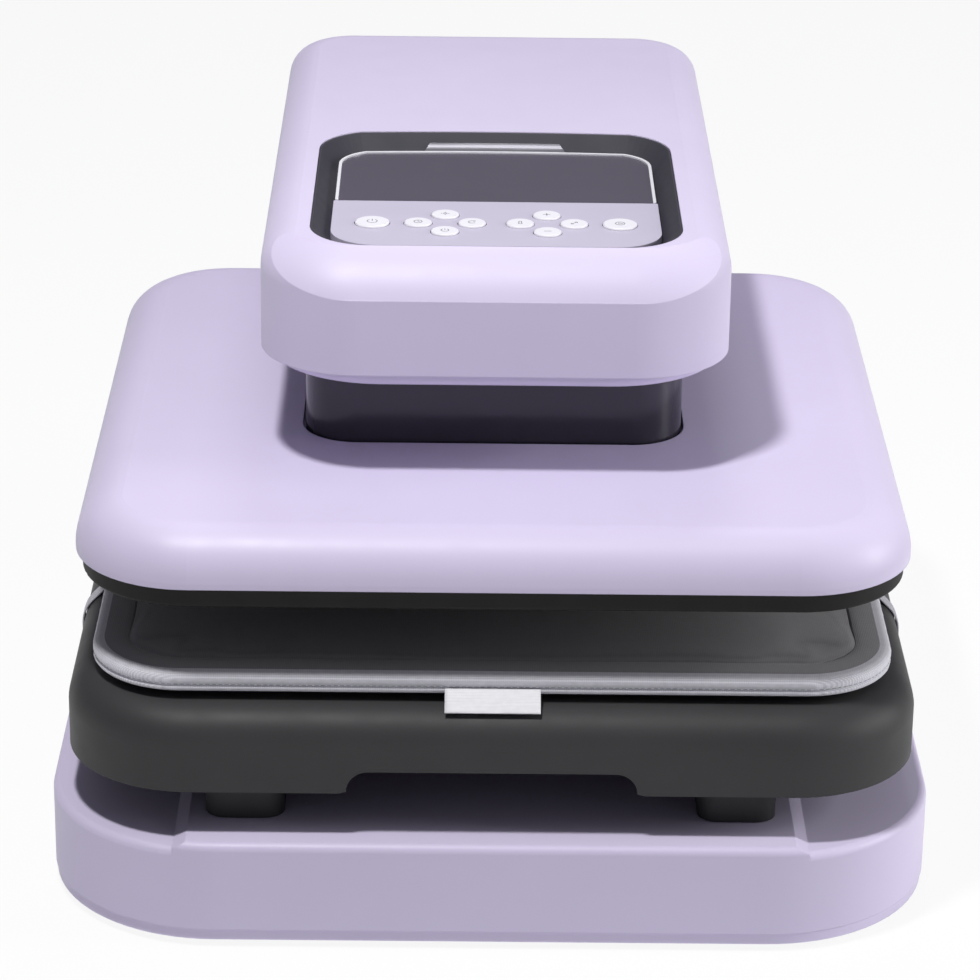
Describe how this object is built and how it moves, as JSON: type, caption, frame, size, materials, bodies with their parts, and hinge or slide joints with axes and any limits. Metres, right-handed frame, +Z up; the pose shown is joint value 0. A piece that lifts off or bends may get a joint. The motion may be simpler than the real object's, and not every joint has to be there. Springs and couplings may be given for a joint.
{
  "type": "automatic heat press",
  "caption": "Flatbed heat press: a padded pull-out drawer on a wide base, a square hot plate lowered by a screw drive, and a head on a rear column with display and push buttons.",
  "frame": {"origin": "centre of the footprint on the table, under the rubber feet", "axes": "+X to the operator's right seen from the front, +Y to the rear, +Z up; the drawer pulls out along -Y"},
  "size_m": [0.455, 0.53, 0.332],
  "materials": {
    "lavender_shell": "satin gloss moulded shell",
    "dark_plastic": "matt charcoal moulding",
    "black_plastic": "black heat-resistant plastic",
    "gloss_black": "gloss black",
    "rubber": "soft rubber",
    "steel": "plain steel",
    "zinc_steel": "zinc plated",
    "coated_aluminium": "dark non-stick coating",
    "silver_trim": "silver painted trim",
    "display_lens": "tinted display window",
    "button_plastic": "white translucent caps",
    "rocker_plastic": "black rocker",
    "circuit_board": "solder mask",
    "motor_paint": "black motor can",
    "bronze": "bearing bronze",
    "insulation": "mineral fibre board",
    "heater_sheath": "oxidised sheath",
    "mat_fabric": "dark woven cover over padding",
    "binding_fabric": "grey woven tape",
    "label_fabric": "white woven tag, bare",
    "strap_elastic": "grey elastic"
  },
  "bodies": {
    "frame": {"base_shell": "lavender_shell", "base_pan": "lavender_shell", "column_cover": "lavender_shell", "head_lower_cover": "lavender_shell", "head_top_cover": "lavender_shell", "button_plate": "lavender_shell", "rubber_feet": "rubber", "drive_belt": "rubber", "cover_screws": "steel", "base_beams": "steel", "column_posts": "steel", "head_frame": "steel", "mech_plate": "steel", "mech_standoffs": "steel", "nut_bearing": "steel", "rear_cover": "dark_plastic", "panel_bezel": "dark_plastic", "power_inlet": "black_plastic", "switch_bezel": "black_plastic", "power_board": "circuit_board", "control_board": "circuit_board", "drive_motor": "motor_paint", "guide_bushes": "bronze", "bezel_tab": "silver_trim", "display_frame": "silver_trim", "display_lens": "display_lens", "rail_brackets": "zinc_steel", "slide_outer_rails": "zinc_steel"},
    "platen": {"lift_screw": "steel", "guide_rods": "steel", "carrier_plate": "steel", "plate_spacers": "steel", "insulation_board": "insulation", "heating_element": "heater_sheath", "heat_plate": "coated_aluminium", "platen_skirt": "black_plastic", "platen_cover": "lavender_shell", "platen_shroud": "gloss_black"},
    "drawer": {"drawer_tray": "dark_plastic", "support_posts": "dark_plastic", "press_mat": "mat_fabric", "mat_binding": "binding_fabric", "mat_label": "label_fabric", "mat_straps": "strap_elastic", "slide_inner_rails": "zinc_steel"},
    "slide_mid": {"slide_middle_rails": "zinc_steel"},
    "nut": {"drive_nut": "bronze"},
    "rotor": {"motor_pulley": "steel"},
    "rocker": {"switch_rocker": "rocker_plastic"},
    "button_power_body": {"button_power": "button_plastic"},
    "button_start_body": {"button_start": "button_plastic"},
    "button_a_up_body": {"button_a_up": "button_plastic"},
    "button_a_down_body": {"button_a_down": "button_plastic"},
    "button_a_left_body": {"button_a_left": "button_plastic"},
    "button_a_right_body": {"button_a_right": "button_plastic"},
    "button_b_up_body": {"button_b_up": "button_plastic"},
    "button_b_down_body": {"button_b_down": "button_plastic"},
    "button_b_left_body": {"button_b_left": "button_plastic"},
    "button_b_right_body": {"button_b_right": "button_plastic"}
  },
  "joints": [
    {"name": "press_slide", "type": "slide", "parent": "frame", "child": "platen", "axis": [0, 0, 1], "range_m": [-0.0355, 0]},
    {"name": "drawer_slide", "type": "slide", "parent": "frame", "child": "drawer", "axis": [0, -1, 0], "range_m": [0, 0.25]},
    {"name": "slide_mid_run", "type": "slide", "parent": "frame", "child": "slide_mid", "axis": [0, -1, 0], "range_m": [0, 0.125]},
    {"name": "nut_spin", "type": "hinge", "parent": "frame", "child": "nut", "pos_m": [0, -0.031, 0.285], "axis": [0, 0, 1], "range_deg": [-1600, 0]},
    {"name": "rotor_spin", "type": "hinge", "parent": "frame", "child": "rotor", "pos_m": [0, 0.011, 0.285], "axis": [0, 0, 1], "range_deg": [-3200, 0]},
    {"name": "rocker_tilt", "type": "hinge", "parent": "frame", "child": "rocker", "pos_m": [0.027, 0.2585, 0.1], "axis": [1, 0, 0], "range_deg": [0, 16]},
    {"name": "button_power_press", "type": "slide", "parent": "frame", "child": "button_power_body", "axis": [0, 0, -1], "range_m": [0, 0.0008], "stiffness_N_per_m": 400},
    {"name": "button_start_press", "type": "slide", "parent": "frame", "child": "button_start_body", "axis": [0, 0, -1], "range_m": [0, 0.0008], "stiffness_N_per_m": 400},
    {"name": "button_a_up_press", "type": "slide", "parent": "frame", "child": "button_a_up_body", "axis": [0, 0, -1], "range_m": [0, 0.0008], "stiffness_N_per_m": 400},
    {"name": "button_a_down_press", "type": "slide", "parent": "frame", "child": "button_a_down_body", "axis": [0, 0, -1], "range_m": [0, 0.0008], "stiffness_N_per_m": 400},
    {"name": "button_a_left_press", "type": "slide", "parent": "frame", "child": "button_a_left_body", "axis": [0, 0, -1], "range_m": [0, 0.0008], "stiffness_N_per_m": 400},
    {"name": "button_a_right_press", "type": "slide", "parent": "frame", "child": "button_a_right_body", "axis": [0, 0, -1], "range_m": [0, 0.0008], "stiffness_N_per_m": 400},
    {"name": "button_b_up_press", "type": "slide", "parent": "frame", "child": "button_b_up_body", "axis": [0, 0, -1], "range_m": [0, 0.0008], "stiffness_N_per_m": 400},
    {"name": "button_b_down_press", "type": "slide", "parent": "frame", "child": "button_b_down_body", "axis": [0, 0, -1], "range_m": [0, 0.0008], "stiffness_N_per_m": 400},
    {"name": "button_b_left_press", "type": "slide", "parent": "frame", "child": "button_b_left_body", "axis": [0, 0, -1], "range_m": [0, 0.0008], "stiffness_N_per_m": 400},
    {"name": "button_b_right_press", "type": "slide", "parent": "frame", "child": "button_b_right_body", "axis": [0, 0, -1], "range_m": [0, 0.0008], "stiffness_N_per_m": 400}
  ],
  "couplings": [
    {"joint": "slide_mid_run", "follows": "drawer_slide", "ratio": 0.5},
    {"joint": "nut_spin", "follows": "press_slide", "rad_per_m": 785.4},
    {"joint": "rotor_spin", "follows": "press_slide", "rad_per_m": 1570.8}
  ]
}
